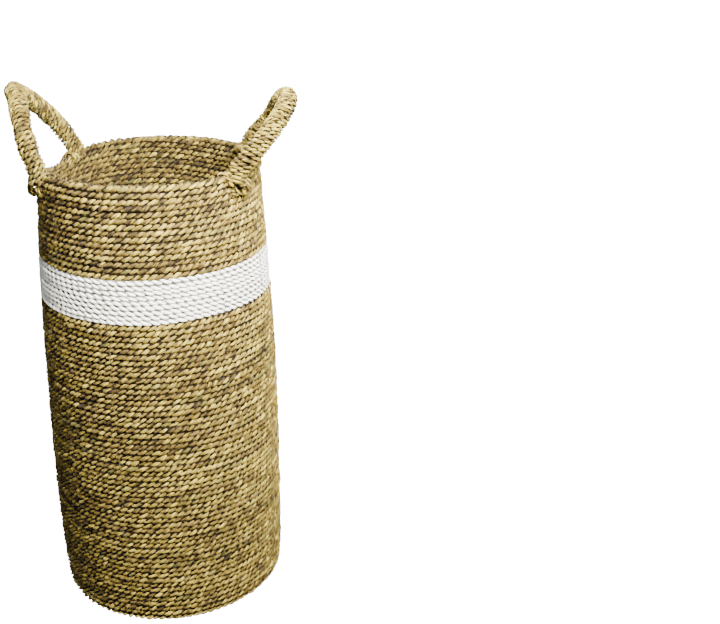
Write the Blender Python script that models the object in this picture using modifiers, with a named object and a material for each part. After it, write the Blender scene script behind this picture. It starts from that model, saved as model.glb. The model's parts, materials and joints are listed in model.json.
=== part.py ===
"""Tall laundry basket: rows of twisted seagrass rope sewn on top of each other, a band of
white cord below the rim, and two wrapped rope handles that swing on their lashings.

Metres, +Z up.  The origin is the centre of the underside, and the handles stand at -X and +X.
"""
import math

import bpy
from mathutils import Vector

# Body
BODY_HEIGHT = 0.600
FLOOR_RADIUS = 0.149        # outer radius of the ring that touches the floor
LOWER_RADIUS = 0.1525       # outer radius just above the rounded bottom corner
MIDDLE_RADIUS = 0.154      # outer radius at half height
RIM_RADIUS = 0.1405         # outer radius at the top
WALL = 0.009                # one rope, sewn flat against its neighbours
BASE_THICKNESS = 0.008
CORNER_HEIGHT = 0.020       # height of the rounded rows between base and wall
RIM_HEIGHT = 0.0085         # the top row, a slightly thicker rope
BAND_DROP = 0.1125          # from the rim down to the white cord
BAND_HEIGHT = 0.056

# Sewing thread, which ties the rows together along upright lines inside the basket
HANDLE_THREADS = 2          # lines under each handle, between its two feet
SIDE_THREADS = 4            # lines on each side of the basket, between the handles
THREAD_RADIUS = 0.0006
THREAD_START = 0.030        # where each line begins on the base, from the centre
THREAD_BEND = 0.006         # how far from the corner it turns upwards
THREAD_TOP_GAP = 0.003      # it is tied off this far below the top of the rim

# Handles: a core of ropes inside a tightly wound cord
HANDLE_RADIUS = 0.012
CORE_RADIUS = 0.0075
HANDLE_HALF_WIDTH = 0.079   # from the middle of the loop to each foot
HANDLE_LENGTH = 0.090       # from the hinge line to the middle of the top of the loop
LEG_STRAIGHTNESS = 0.35     # 0 makes the loop half an ellipse, more makes it a pointed arch
TOP_ROUNDING = 0.35         # how far the top of the arch is rounded off
LEFT_LEAN = math.radians(28)        # outwards from upright, as the handles rest
RIGHT_LEAN = math.radians(40)
FOOT_OFFSET = 0.003         # the feet stand this far outside the rim's outer face
BARE_CORE = 0.010           # length of core between the hinge and the first turn of cord
LOOP_STEPS = 22

# Lashings: turns of cord over the rim on both sides of a handle's foot
LASHING_THICKNESS = 0.006
LASHING_DROP = 0.022
LASHING_ARC = math.radians(17)
LASHING_STEPS = 6

# Clearances
FIT = 0.0003                # between rows that touch
THREAD_FIT = 0.0006         # between the thread and the faceted wall
LASHING_FIT = 0.0008
FOOT_FIT = 0.0005           # between a handle's foot and the rim
SWING_FIT = 0.001           # each side of a handle's foot

RING_STEPS = 48
TUBE_RESOLUTION = 2

BAND_TOP = BODY_HEIGHT - BAND_DROP
BAND_BOTTOM = BAND_TOP - BAND_HEIGHT
RIM_BOTTOM = BODY_HEIGHT - RIM_HEIGHT
FOOT_RADIUS = RIM_RADIUS + FOOT_OFFSET
HINGE_X = math.sqrt(FOOT_RADIUS ** 2 - HANDLE_HALF_WIDTH ** 2)
HINGE_Z = BODY_HEIGHT + FOOT_FIT + CORE_RADIUS
FOOT_ANGLE = math.asin(HANDLE_HALF_WIDTH / FOOT_RADIUS)     # from the X axis to each foot

SEAGRASS = (0.42, 0.30, 0.12)
SEAGRASS_DARK = (0.30, 0.21, 0.08)
CORD_WHITE = (0.86, 0.86, 0.82)
THREAD_STRAW = (0.62, 0.54, 0.36)


def clear_scene():
    for item in list(bpy.data.objects):
        bpy.data.objects.remove(item, do_unlink=True)


def new_collection(name):
    collection = bpy.data.collections.new(name)
    bpy.context.scene.collection.children.link(collection)
    return collection


def material(name, color, roughness):
    made = bpy.data.materials.new(name)
    made.use_nodes = True
    shader = made.node_tree.nodes["Principled BSDF"]
    shader.inputs["Base Color"].default_value = (*color, 1.0)
    shader.inputs["Roughness"].default_value = roughness
    shader.inputs["Metallic"].default_value = 0.0
    made.diffuse_color = (*color, 1.0)
    return made


def add_object(name, data, collection, color, roughness=0.85):
    made = bpy.data.objects.new(name, data)
    collection.objects.link(made)
    if color:
        data.materials.append(material(name, color, roughness))
    return made


def body_radius(z):
    """Outer radius of the wall, a parabola through its three radii, without the corner."""
    share = z / BODY_HEIGHT
    bow = 2 * (LOWER_RADIUS + RIM_RADIUS - 2 * MIDDLE_RADIUS)
    slope = RIM_RADIUS - LOWER_RADIUS - bow
    return LOWER_RADIUS + slope * share + bow * share ** 2


def outer_radius(z):
    if z >= CORNER_HEIGHT:
        return body_radius(z)
    rise = 1 - z / CORNER_HEIGHT
    return FLOOR_RADIUS + (body_radius(z) - FLOOR_RADIUS) * math.sqrt(1 - rise ** 2)


def inner_radius(z):
    return outer_radius(z) - WALL


def levels(low, high, count):
    return [low + (high - low) * step / count for step in range(count + 1)]


def profile_mesh(name, points, closed):
    mesh = bpy.data.meshes.new(name)
    edges = [(at, at + 1) for at in range(len(points) - 1)]
    if closed:
        edges.append((len(points) - 1, 0))
    mesh.from_pydata([(radius, 0.0, z) for radius, z in points], edges, [])
    return mesh


def turn(made, angle, steps):
    screw = made.modifiers.new("Turn", "SCREW")
    screw.axis = "Z"
    screw.angle = angle
    screw.steps = steps
    screw.render_steps = steps
    screw.use_merge_vertices = angle > math.pi
    screw.merge_threshold = 0.00005
    screw.use_smooth_shade = True


def add_ring(name, collection, color, outer, inner):
    """A turned ring from its outer points, top to bottom, and its inner points, bottom to top."""
    made = add_object(name, profile_mesh(name, outer + inner, closed=True), collection, color)
    turn(made, math.tau, RING_STEPS)
    return made


def add_wall(name, collection, color, low, high, count):
    heights = levels(low, high, count)
    outer = [(outer_radius(z), z) for z in reversed(heights)]
    inner = [(inner_radius(z), z) for z in heights]
    return add_ring(name, collection, color, outer, inner)


def add_rim(collection):
    """The top row, whose upper corners are rounded like the rope."""
    low = RIM_BOTTOM
    mid = RIM_BOTTOM + RIM_HEIGHT / 2
    shoulder = WALL * 0.25
    outer = [(outer_radius(BODY_HEIGHT) - shoulder, BODY_HEIGHT),
             (outer_radius(mid), mid),
             (outer_radius(low), low)]
    inner = [(inner_radius(low), low),
             (inner_radius(mid), mid),
             (inner_radius(BODY_HEIGHT) + shoulder, BODY_HEIGHT)]
    return add_ring("rim_row", collection, SEAGRASS, outer, inner)


def add_base(collection):
    """The flat coil of the base, which fills the corner rows up to their inner face."""
    edge = [(inner_radius(z) - FIT, z) for z in reversed(levels(0.0, BASE_THICKNESS, 3))]
    points = [(0.0, BASE_THICKNESS)] + edge + [(0.0, 0.0)]
    made = add_object("base_coil", profile_mesh("base_coil", points, closed=False),
                      collection, SEAGRASS_DARK)
    turn(made, math.tau, RING_STEPS)
    return made


def add_corner(collection):
    """The rounded rows.  Their inner points share the base's heights, so the gap is even."""
    heights = levels(0.0, BASE_THICKNESS, 3) + levels(BASE_THICKNESS, CORNER_HEIGHT, 4)[1:]
    heights[-1] -= FIT
    outer = [(outer_radius(z), z) for z in reversed(heights)]
    inner = [(inner_radius(z), z) for z in heights]
    return add_ring("corner_rows", collection, SEAGRASS, outer, inner)


def tube(name, collection, color, points, radius, caps=True, swell=None):
    """A bevelled curve through points; swell gives each point's share of the radius."""
    curve = bpy.data.curves.new(name, "CURVE")
    curve.dimensions = "3D"
    curve.bevel_depth = radius
    curve.bevel_resolution = TUBE_RESOLUTION
    curve.use_fill_caps = caps
    curve.twist_mode = "MINIMUM"
    spline = curve.splines.new("POLY")
    spline.points.add(len(points) - 1)
    for at, point in enumerate(points):
        spline.points[at].co = (*point, 1.0)
        spline.points[at].radius = swell[at] if swell else 1.0
    spline.use_smooth = True
    return add_object(name, curve, collection, color)


def thread_route(angle):
    """Out along the base, round the corner and up the inner face of every row."""
    stand_off = THREAD_FIT + THREAD_RADIUS
    floor = BASE_THICKNESS + stand_off
    turn_z = floor + THREAD_BEND
    corner = inner_radius(turn_z) - stand_off
    route = [(THREAD_START, floor), (corner - THREAD_BEND, floor)]
    for step in (1, 2):
        bend = math.pi / 2 * step / 3
        route.append((corner - THREAD_BEND * (1 - math.sin(bend)),
                      turn_z - THREAD_BEND * math.cos(bend)))
    for z in levels(turn_z, BODY_HEIGHT - THREAD_TOP_GAP, 7):
        route.append((inner_radius(z) - stand_off, z))
    return [(radius * math.cos(angle), radius * math.sin(angle), z) for radius, z in route]


def thread_angles():
    """Where the lines stand: evenly spread from one handle's foot to the next, clear of both."""
    under = 2 * FOOT_ANGLE
    side = math.pi - under
    stretches = ((-FOOT_ANGLE, under, HANDLE_THREADS),
                 (FOOT_ANGLE, side, SIDE_THREADS),
                 (math.pi - FOOT_ANGLE, under, HANDLE_THREADS),
                 (math.pi + FOOT_ANGLE, side, SIDE_THREADS))
    return [start + span * (line + 0.5) / count
            for start, span, count in stretches for line in range(count)]


def add_threads(collection):
    for line, angle in enumerate(thread_angles(), start=1):
        tube(f"thread_line_{line:02d}", collection, THREAD_STRAW, thread_route(angle),
             THREAD_RADIUS)


def loop_point(turned):
    """A point of the handle's loop in its own plane: turned runs from 0 to pi."""
    along = math.cos(turned)
    rounding = TOP_ROUNDING ** 2
    pinch = ((along ** 2 + rounding) / (1 + rounding)) ** LEG_STRAIGHTNESS
    return Vector((0.0, HANDLE_HALF_WIDTH * along * pinch, HANDLE_LENGTH * math.sin(turned)))


def loop_route(reach=None):
    """The wound stretch of the loop, and one point more, reach from each foot, for the core."""
    dense = [loop_point(math.pi * step / 400) for step in range(401)]
    travelled = [0.0]
    for here, there in zip(dense, dense[1:]):
        travelled.append(travelled[-1] + (there - here).length)
    total = travelled[-1]
    places = levels(BARE_CORE, total - BARE_CORE, LOOP_STEPS)
    if reach:
        places = [reach] + places + [total - reach]
    route = []
    at = 0
    for wanted in places:
        while at < len(dense) - 2 and travelled[at + 1] < wanted:
            at += 1
        share = (wanted - travelled[at]) / (travelled[at + 1] - travelled[at])
        route.append(dense[at].lerp(dense[at + 1], min(share, 1.0)))
    return route


def add_core(side, collection, hinge):
    """The core of ropes.  Each end is a ball around the hinge line."""
    route = loop_route(CORE_RADIUS / 2)
    foot = loop_point(0.0)
    other = loop_point(math.pi)
    below = [math.cos(math.radians(step)) for step in (15, 40, 65, 90)]
    width = [math.sin(math.radians(step)) for step in (15, 40, 65, 90)]
    down = Vector((0.0, 0.0, -CORE_RADIUS))
    start = [foot + down * depth for depth in below]
    end = [other + down * depth for depth in reversed(below)]
    points = start + route + end
    swell = width + [1.0] * len(route) + width[::-1]
    made = tube(f"handle_{side}_core", collection, SEAGRASS_DARK, points, CORE_RADIUS,
                swell=swell)
    made.parent = hinge


def add_wrap(side, collection, hinge):
    """The cord wound round the core, as one sleeve with open ends."""
    made = tube(f"handle_{side}_wrap", collection, SEAGRASS, loop_route(), HANDLE_RADIUS,
                caps=False)
    sleeve = made.modifiers.new("Sleeve", "SOLIDIFY")
    sleeve.thickness = HANDLE_RADIUS - CORE_RADIUS - FIT
    sleeve.offset = -1.0
    made.parent = hinge


def add_notch(name, cutters, x, y):
    """Room for a handle's foot to swing across the rim, along X."""
    depth = LASHING_FIT + LASHING_THICKNESS + WALL
    bpy.ops.mesh.primitive_cube_add(size=1.0)
    notch = bpy.context.object
    notch.name = name
    for collection in list(notch.users_collection):
        collection.objects.unlink(notch)
    cutters.objects.link(notch)
    notch.scale = (4 * depth, 2 * (CORE_RADIUS + SWING_FIT), 2 * HANDLE_RADIUS)
    notch.location = (x, y, BODY_HEIGHT - RIM_HEIGHT / 4 + HANDLE_RADIUS)
    notch.hide_render = True
    notch.display_type = "WIRE"
    return notch


def add_lashing(name, collection, cutters, x, y):
    """A saddle over the rim from the outer face to the inner face, open under the foot."""
    low = BODY_HEIGHT - LASHING_DROP
    top = BODY_HEIGHT + LASHING_FIT
    shoulder = WALL * 0.2
    outer = [(outer_radius(z) + LASHING_FIT, z)
             for z in levels(low, BODY_HEIGHT - shoulder, 2)]
    inner = [(inner_radius(z) - LASHING_FIT, z)
             for z in levels(low, BODY_HEIGHT - shoulder, 2)]
    crown = [(inner_radius(top) + shoulder, top), (outer_radius(top) - shoulder, top)]
    points = inner + crown + outer[::-1]
    made = add_object(name, profile_mesh(name, points, closed=False), collection, SEAGRASS)
    turn(made, LASHING_ARC, LASHING_STEPS)
    made.rotation_euler.z = math.atan2(y, x) - LASHING_ARC / 2
    shell = made.modifiers.new("Turns", "SOLIDIFY")
    shell.thickness = LASHING_THICKNESS
    shell.offset = 1.0
    swing = made.modifiers.new("Swing", "BOOLEAN")
    swing.operation = "DIFFERENCE"
    swing.object = add_notch(f"{name}_notch", cutters, x, y)
    return made


def add_handle(side, direction, lean, collection, cutters):
    """One handle: direction is -1 for the one at -X and +1 for the one at +X."""
    hinge = bpy.data.objects.new(f"handle_{side}_hinge", None)
    collection.objects.link(hinge)
    hinge.location = (direction * HINGE_X, 0.0, HINGE_Z)
    hinge.rotation_euler.y = direction * lean
    add_core(side, collection, hinge)
    add_wrap(side, collection, hinge)
    for place, end in (("front", -1), ("rear", 1)):
        add_lashing(f"handle_{side}_{place}_lashing", collection, cutters,
                    direction * HINGE_X, end * HANDLE_HALF_WIDTH)


def main():
    clear_scene()
    basket = new_collection("laundry_basket")
    cutters = new_collection("cutters")
    add_base(basket)
    add_corner(basket)
    add_wall("lower_wall", basket, SEAGRASS, CORNER_HEIGHT, BAND_BOTTOM - FIT, 7)
    add_wall("white_band", basket, CORD_WHITE, BAND_BOTTOM, BAND_TOP - FIT, 2)
    add_wall("upper_wall", basket, SEAGRASS, BAND_TOP, RIM_BOTTOM - FIT, 2)
    add_rim(basket)
    add_threads(basket)
    add_handle("left", -1, LEFT_LEAN, basket, cutters)
    add_handle("right", 1, RIGHT_LEAN, basket, cutters)


main()
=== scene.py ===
"""Tall laundry basket, made row by row from twisted rope around its packed frame.

Every row is real rope: two strands laid round each other over a darker filler.  One profile
line runs from the middle of the base, round the corner and up the wall, and the rope coils
along it from the first turn to the rim.  Metres, +Z up, in the frame's own axes.
"""

import json
import math

import bmesh
import bpy
import numpy as np
from bpy.props import FloatProperty, FloatVectorProperty, IntProperty, PointerProperty
from mathutils import Matrix, Vector


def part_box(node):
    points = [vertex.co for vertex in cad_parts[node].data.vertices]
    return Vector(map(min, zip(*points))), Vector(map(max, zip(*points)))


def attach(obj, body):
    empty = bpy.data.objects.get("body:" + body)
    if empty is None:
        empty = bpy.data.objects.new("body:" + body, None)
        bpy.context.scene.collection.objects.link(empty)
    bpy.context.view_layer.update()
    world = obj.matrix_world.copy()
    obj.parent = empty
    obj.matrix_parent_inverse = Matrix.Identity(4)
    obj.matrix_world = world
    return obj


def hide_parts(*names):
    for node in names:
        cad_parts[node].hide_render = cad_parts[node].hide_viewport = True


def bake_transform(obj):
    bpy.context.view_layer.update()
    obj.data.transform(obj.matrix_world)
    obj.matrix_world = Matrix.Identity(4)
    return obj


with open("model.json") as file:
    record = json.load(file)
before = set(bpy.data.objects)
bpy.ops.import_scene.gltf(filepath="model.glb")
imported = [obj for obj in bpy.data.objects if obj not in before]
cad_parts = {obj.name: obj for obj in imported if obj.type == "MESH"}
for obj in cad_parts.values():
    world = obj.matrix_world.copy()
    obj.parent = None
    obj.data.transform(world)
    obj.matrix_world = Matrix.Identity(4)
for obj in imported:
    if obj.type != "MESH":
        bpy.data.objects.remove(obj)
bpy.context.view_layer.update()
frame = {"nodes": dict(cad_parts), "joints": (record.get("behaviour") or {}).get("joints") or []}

bl_info = {
    "name": "Coiled Laundry Basket",
    "version": (1, 0, 0),
    "blender": (4, 5, 0),
    "location": "View3D > Sidebar > Basket",
    "description": "A tall basket of sewn seagrass rope with a white band and two handles",
    "category": "Add Mesh",
}

BASKET = "basket"


# ---------------------------------------------------------------- sizes read from the frame

def node_points(name):
    mesh = frame["nodes"][name].data
    points = np.zeros(len(mesh.vertices) * 3, np.float32)
    mesh.vertices.foreach_get("co", points)
    return points.reshape(-1, 3).astype(float)


def ring_radius(name, z, largest=True):
    """Radius of a turned node's outer or inner edge at one of its levels."""
    points = node_points(name)
    level = points[np.abs(points[:, 2] - z) < 0.0001]
    radii = np.hypot(level[:, 0], level[:, 1])
    return float(radii.max() if largest else radii.min())


RIM_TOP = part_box("rim_row")[1].z
RIM_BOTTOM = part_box("rim_row")[0].z
BAND_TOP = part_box("upper_wall")[0].z
BAND_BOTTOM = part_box("white_band")[0].z
CORNER_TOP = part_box("lower_wall")[0].z
BASE_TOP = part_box("base_coil")[1].z
WALL = ring_radius("upper_wall", BAND_TOP) - ring_radius("upper_wall", BAND_TOP, False)
RADIUS_KNOTS = [(CORNER_TOP, ring_radius("lower_wall", CORNER_TOP)),
                (BAND_BOTTOM, ring_radius("white_band", BAND_BOTTOM)),
                (RIM_BOTTOM, ring_radius("rim_row", RIM_BOTTOM))]
RADIUS_CURVE = np.polyfit(*zip(*RADIUS_KNOTS), 2)
HINGES = {joint["child"]: Vector(joint["pos_m"]) for joint in frame["joints"]}


def wall_radius(z):
    """Outer radius of the wall above its rounded corner."""
    return np.polyval(RADIUS_CURVE, z)


# ---------------------------------------------------------------- properties

def length(name, description, default):
    return FloatProperty(name=name, description=description, default=default,
                         unit="LENGTH", subtype="DISTANCE", precision=4)


def share(name, description, default):
    return FloatProperty(name=name, description=description, default=default,
                         min=0.0, max=1.0, subtype="FACTOR")


def angle(name, description, default):
    return FloatProperty(name=name, description=description, default=math.radians(default),
                         unit="ROTATION", subtype="ANGLE")


def count(name, description, default):
    return IntProperty(name=name, description=description, default=default, min=1)


def colour(name, description, default):
    return FloatVectorProperty(name=name, description=description, default=default,
                               size=3, min=0.0, max=1.0, subtype="COLOR")


class CoilSizes(bpy.types.PropertyGroup):
    """How many rows each stretch of the basket has, and how evenly they lie"""
    base_rows: count("Base rows", "Turns of the flat coil", 18)
    corner_rows: count("Corner rows", "Turns round the bottom corner", 3)
    lower_rows: count("Lower rows", "Rows below the white band", 54)
    band_rows: count("Band rows", "Rows of white cord", 9)
    upper_rows: count("Upper rows", "Rows between the band and the rim", 14)
    rows_per_piece: count("Rows per piece", "Rows of the lower wall in one mesh", 9)
    seam: angle("Seam", "Where every row steps up to the next", 104.0)
    seam_length: share("Seam length", "Share of a turn that the step takes", 0.14)
    wander_up: length("Rise and fall", "How far a row strays along the wall", 0.00032)
    wander_out: length("In and out", "How far a row strays through the wall", 0.00045)
    bulge: length("Bulge", "Slow hollows and swellings of the whole wall", 0.0010)
    rim_dip: length("Rim dip", "How far the rim sags by the left handle's rear foot", 0.014)
    rim_pinch: length("Rim pinch", "How far the wall is drawn in there", 0.009)


def rope_sizes(name, about, lay, depth, width, unevenness, looseness):
    """A property group for one kind of rope."""
    sizes = {
        "lay": length("Lay", "Length of one full twist", lay),
        "strand_depth": length("Strand depth", "Half a strand's thickness, outwards", depth),
        "strand_width": length("Strand width", "Half a strand's thickness, sideways", width),
        "unevenness": share("Unevenness", "How much a strand swells and thins", unevenness),
        "looseness": FloatProperty(name="Looseness", default=looseness,
                                   description="Wander of the twist, in radians"),
        "step": length("Step", "Length of one mesh segment", 0.0016),
    }
    return type(name, (bpy.types.PropertyGroup,), {"__doc__": about, "__annotations__": sizes})


SeagrassSizes = rope_sizes("SeagrassSizes", "The seagrass rope of the wall and base",
                           0.0184, 0.00208, 0.00270, 0.17, 0.80)
CordSizes = rope_sizes("CordSizes", "The smooth white cord of the band, laid the other way",
                       0.0205, 0.00172, 0.00240, 0.035, 0.22)


class HandleSizes(bpy.types.PropertyGroup):
    """The looped handles, their winding and the lashings at their feet"""
    half_width: length("Half width", "From the middle of the loop to each foot", 0.079)
    height: length("Height", "From the hinge line to the top of the loop", 0.090)
    straightness: share("Leg straightness", "0 is half an ellipse, more is an arch", 0.35)
    rounding: share("Top rounding", "How far the top of the arch is rounded off", 0.35)
    left_lean: angle("Left lean", "Outwards from upright", 28.0)
    right_lean: angle("Right lean", "Outwards from upright", 40.0)
    core_radius: length("Core radius", "Of the rope inside the winding", 0.0074)
    winding_radius: length("Winding radius", "To the middle of the winding cord", 0.0096)
    winding_pitch: length("Winding pitch", "From one turn to the next", 0.0058)
    tail: length("Tail", "Of each leg, below the hinge and outside the rim", 0.024)
    winding_start: length("Winding start", "From the foot to the first turn", 0.002)
    cord_lay: length("Cord lay", "Length of one twist of the winding cord", 0.0165)
    cord_radius: length("Cord radius", "Of the winding cord", 0.0030)
    lashing_turns: count("Lashing turns", "Turns of cord over the rim at each foot", 6)
    lashing_width: length("Lashing width", "Along the rim", 0.040)
    lashing_drop: length("Lashing drop", "Outside, below the top of the rim", 0.0310)
    lashing_inside: length("Lashing inside", "Inside, below the top of the rim", 0.0090)
    lashing_slant: length("Lashing slant", "How far the turns lean along the rim", 0.014)


class ThreadSizes(bpy.types.PropertyGroup):
    """The thread that sews each row to the next"""
    radius: length("Radius", "Of the thread", 0.00042)
    start: length("Start", "Where each line begins on the base", 0.030)
    under_handle: count("Lines under a handle", "Between its two feet", 2)
    on_side: count("Lines on a side", "Between the two handles", 4)
    stitch: length("Stitch", "Length of an outer stitch", 0.0052)


class FinishColours(bpy.types.PropertyGroup):
    """Colours of the rope, cord and thread"""
    blade_dark: colour("Dark blades", "The brownest seagrass", (0.026, 0.016, 0.004))
    blade_brown: colour("Brown blades", "Dull seagrass", (0.112, 0.073, 0.013))
    blade_straw: colour("Straw blades", "Most of the seagrass", (0.248, 0.176, 0.024))
    blade_pale: colour("Pale blades", "The driest seagrass", (0.560, 0.435, 0.082))
    blade_green: colour("Green tinge", "Blades dried in the shade", (0.135, 0.142, 0.034))
    blade_rose: colour("Rose tinge", "Blades from near the root", (0.190, 0.125, 0.045))
    # Painted shade: the colour that strands and the filler take deep between the rows
    gap: colour("Gaps", "Deep between the rows", (0.012, 0.007, 0.002))
    cord: colour("White cord", "Bleached cord", (0.985, 0.976, 0.892))
    # Painted shade: the colour that the white cord takes deep between its turns
    cord_gap_shade: colour("Cord gaps", "Deep between the turns of cord", (0.120, 0.112, 0.080))
    thread: colour("Thread", "Sewing thread", (0.150, 0.110, 0.030))


class StudioSettings(bpy.types.PropertyGroup):
    """Camera, floor and lights"""
    camera_place: FloatVectorProperty(name="Camera", description="Where the camera stands",
                                      default=(0.2406, -1.2979, 0.9071), unit="LENGTH",
                                      subtype="TRANSLATION")
    heading: angle("Heading", "Clockwise from +Y", 1.23)
    tilt: angle("Tilt", "Below the horizon", 21.74)
    roll: angle("Roll", "About the line of sight", 0.24)
    lens: FloatProperty(name="Lens", description="Focal length in millimetres", default=52.0)
    floor: colour("Floor", "The pale floor", (0.86, 0.86, 0.86))
    key_power: FloatProperty(name="Key", description="Power of the key light", default=68.0)
    fill_power: FloatProperty(name="Fill", description="Power of the fill light", default=1.5)
    rear_power: FloatProperty(name="Rear", description="Power of the rear light", default=80.0)
    room_light: FloatProperty(name="Room", description="Strength of the room's own light",
                              default=0.24)
    reach: length("Reach", "Radius of the floor and the dome", 30.0)
    floor_glow: FloatProperty(name="Floor glow", description="Light that the floor itself gives",
                              default=24.0)


SETTINGS = {
    "basket_coil": CoilSizes,
    "basket_seagrass": SeagrassSizes,
    "basket_cord": CordSizes,
    "basket_handle": HandleSizes,
    "basket_thread": ThreadSizes,
    "basket_colours": FinishColours,
    "basket_studio": StudioSettings,
}


# ---------------------------------------------------------------- lines that the rope follows

def unit(vectors):
    return vectors / np.linalg.norm(vectors, axis=-1, keepdims=True)


def polar(radius, azimuth, height):
    """Points, or directions, at a radius and a height round the basket's axis."""
    radius, azimuth, height = np.broadcast_arrays(radius, azimuth, height)
    return np.stack([radius * np.cos(azimuth), radius * np.sin(azimuth), height], axis=-1)


def over_rings(rings, *parts):
    """Values for every point of some rings, one part for each of their three components."""
    return np.stack([np.broadcast_to(part, rings.shape[:2]) for part in parts], axis=-1)


def drift(rng, along, spacing):
    """Smooth seeded noise of about unit size along a line, one bump every spacing metres."""
    knots = rng.standard_normal(int(along[-1] / spacing) + 3)
    place = along / spacing
    at = place.astype(int)
    blend = place - at
    blend = blend * blend * (3.0 - 2.0 * blend)
    return knots[at] * (1.0 - blend) + knots[at + 1] * blend


def travelled(path):
    steps = np.linalg.norm(np.diff(path, axis=0), axis=1)
    return np.concatenate([[0.0], np.cumsum(steps)])


class Profile:
    """The middle line of the rows: out along the base, round the corner and up the wall."""

    def __init__(self):
        half = WALL / 2
        self.base_z = BASE_TOP / 2 + 0.0004
        bend = CORNER_TOP / 2
        wall_start = self.base_z + bend
        edge = wall_radius(wall_start) - half
        turn = np.linspace(0.0, math.pi / 2, 40)
        up = np.linspace(wall_start, RIM_TOP, 400)
        radius = np.concatenate([[0.0], edge - bend + bend * np.sin(turn),
                                 wall_radius(up[1:]) - half])
        height = np.concatenate([[self.base_z], wall_start - bend * np.cos(turn), up[1:]])
        self.line = np.stack([radius, height], axis=1)
        self.at = travelled(self.line)
        self.corner_start = edge - bend

    def distance_at(self, z):
        """How far along the line the wall reaches a height."""
        wall = self.line[:, 1] > self.base_z + 0.001
        return float(np.interp(z, self.line[wall, 1], self.at[wall]))

    def point_at(self, distance):
        return np.stack([np.interp(distance, self.at, part) for part in self.line.T])

    def look_up(self, distance):
        """Radius and height, and the outward direction's radius and height."""
        nearby = 0.0015
        radius, height = self.point_at(distance)
        run, rise = self.point_at(distance + nearby) - self.point_at(distance - nearby)
        size = np.hypot(rise, run)
        return radius, height, rise / size, -run / size


PROFILE = Profile()


def place_on_wall(distance, azimuth, outward=0.0):
    """Points and outward directions at distances along the profile and round the basket."""
    radius, height, face_out, face_up = PROFILE.look_up(distance)
    side = polar(face_out, azimuth, face_up)
    return polar(radius, azimuth, height) + side * np.asarray(outward)[..., None], side


def coil_line(start, pitch, first, last, coil, step, flat_turns=0):
    """The middle line of rows first to last, which step up to the next row at the seam.

    The first flat_turns of the base are an even spiral, which eases into the stepped rows.  It
    begins with most of a half turn more, which closes the base's middle.
    """
    azimuth = []
    place = []
    if flat_turns:
        turned = np.linspace(-0.45, 0.0, 8, endpoint=False)
        azimuth.append(coil.seam + math.tau * turned)
        place.append(start + pitch * (turned + 0.5))
    for row in range(first, last):
        radius = max(float(PROFILE.look_up(start + pitch * (row + 0.5))[0]), 0.004)
        segments = max(int(math.tau * radius / step), 12)
        turned = np.arange(segments) / segments
        climb = np.clip((turned - 1 + coil.seam_length) / coil.seam_length, 0.0, 1.0)
        climb = climb * climb * (3 - 2 * climb)
        if flat_turns:
            eased = np.clip((row + turned - flat_turns) / (2 * flat_turns), 0.0, 1.0)
            climb = turned * (1 - eased) + climb * eased
        azimuth.append(coil.seam + math.tau * (row + turned))
        place.append(start + pitch * (row + climb + 0.5))
    overlap = 8
    azimuth.append(azimuth[-1][-1] + (azimuth[-1][-1] - azimuth[-1][-2]) * np.arange(1, overlap))
    place.append(np.full(overlap - 1, start + pitch * (last + 0.5)))
    return np.concatenate(place), np.concatenate(azimuth)


DIP_AT = 168.0              # degrees round the basket, by the left handle's rear foot
DIP_SPREAD = 28.0           # degrees
PINCH_SPREAD = 26.0         # degrees
DIP_STARTS = 0.80           # share of the basket's height
RIM_RADIUS = 0.14


def settle(points, coil):
    """The hand-made basket is never quite round: slow bulges, and a rim that sags at the left."""
    azimuth = np.arctan2(points[:, 1], points[:, 0])
    height = points[:, 2] / RIM_TOP
    radius = np.hypot(points[:, 0], points[:, 1])
    bulge = (np.sin(2 * azimuth + 5.0 * height + 0.6) + 0.7 * np.sin(3 * azimuth - 7.0 * height)
             + 0.5 * np.sin(5 * azimuth + 11.0 * height + 2.0))
    swell = 1 + coil.bulge * bulge * np.clip(height * 8, 0, 1) / np.maximum(radius, 0.05)
    near_rim = np.clip((height - DIP_STARTS) / 0.20, 0, 1) ** 1.5
    aside = np.degrees(azimuth % math.tau) - DIP_AT
    sag = coil.rim_dip * np.exp(-(aside / DIP_SPREAD) ** 2) * near_rim
    pinch = coil.rim_pinch * np.exp(-(aside / PINCH_SPREAD) ** 2) * near_rim
    swell = swell - pinch / RIM_RADIUS
    settled = points * np.stack([swell, swell, np.ones_like(swell)], axis=1)
    settled[:, 2] = np.maximum(settled[:, 2] - sag, 0.0)
    return settled


# ---------------------------------------------------------------- strands and their meshes

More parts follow.
